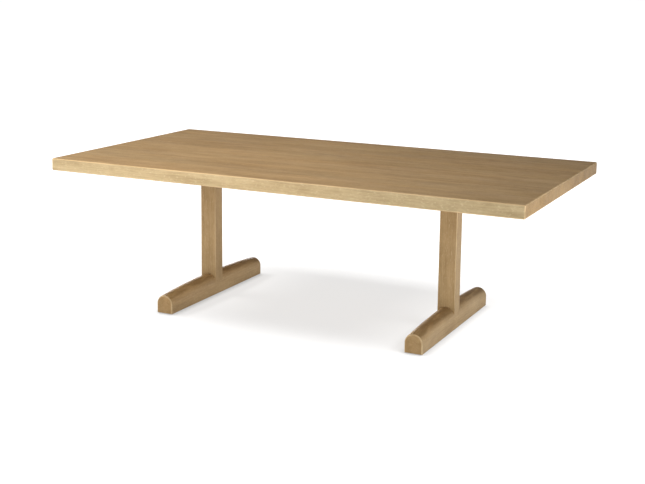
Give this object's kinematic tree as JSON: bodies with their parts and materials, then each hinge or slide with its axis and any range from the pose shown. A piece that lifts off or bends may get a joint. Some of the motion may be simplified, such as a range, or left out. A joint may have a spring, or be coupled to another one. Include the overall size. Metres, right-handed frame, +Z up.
{
  "type": "trestle table",
  "caption": "Low rectangular communion table: thick glued-board top on inverted-T legs with arched, round-topped feet, hidden bearers and levelling glides.",
  "frame": {"origin": "on the floor, under the centre of the top", "axes": "+X along the length of the top, +Y from the front long edge to the back one, +Z up"},
  "size_m": [1.372, 0.714, 0.438],
  "materials": {
    "top_wood": "satin",
    "leg_wood": "satin",
    "dowel_wood": "matte",
    "steel": "satin",
    "zinc": "satin",
    "nylon": "matte"
  },
  "bodies": {
    "table": {"top_board_1": "top_wood", "top_board_2": "top_wood", "top_board_3": "top_wood", "top_board_4": "top_wood", "top_board_5": "top_wood", "top_board_6": "top_wood", "top_board_7": "top_wood", "left_bearer": "leg_wood", "left_post": "leg_wood", "left_foot": "leg_wood", "left_post_bolts": "steel", "left_post_washers": "zinc", "left_post_inserts": "zinc", "left_post_dowels": "dowel_wood", "left_top_bolts": "steel", "left_top_washers": "zinc", "left_top_inserts": "zinc", "left_glide_sockets": "zinc", "right_bearer": "leg_wood", "right_post": "leg_wood", "right_foot": "leg_wood", "right_post_bolts": "steel", "right_post_washers": "zinc", "right_post_inserts": "zinc", "right_post_dowels": "dowel_wood", "right_top_bolts": "steel", "right_top_washers": "zinc", "right_top_inserts": "zinc", "right_glide_sockets": "zinc"},
    "left_front_glide": {"left_front_glide_stud": "steel", "left_front_glide_pad": "nylon"},
    "left_back_glide": {"left_back_glide_stud": "steel", "left_back_glide_pad": "nylon"},
    "right_front_glide": {"right_front_glide_stud": "steel", "right_front_glide_pad": "nylon"},
    "right_back_glide": {"right_back_glide_stud": "steel", "right_back_glide_pad": "nylon"}
  },
  "joints": [
    {"name": "left_front_glide_slide", "type": "slide", "parent": "table", "child": "left_front_glide", "axis": [0, 0, -1], "range_m": [0, 0.01]},
    {"name": "left_back_glide_slide", "type": "slide", "parent": "table", "child": "left_back_glide", "axis": [0, 0, -1], "range_m": [0, 0.01]},
    {"name": "right_front_glide_slide", "type": "slide", "parent": "table", "child": "right_front_glide", "axis": [0, 0, -1], "range_m": [0, 0.01]},
    {"name": "right_back_glide_slide", "type": "slide", "parent": "table", "child": "right_back_glide", "axis": [0, 0, -1], "range_m": [0, 0.01]}
  ]
}
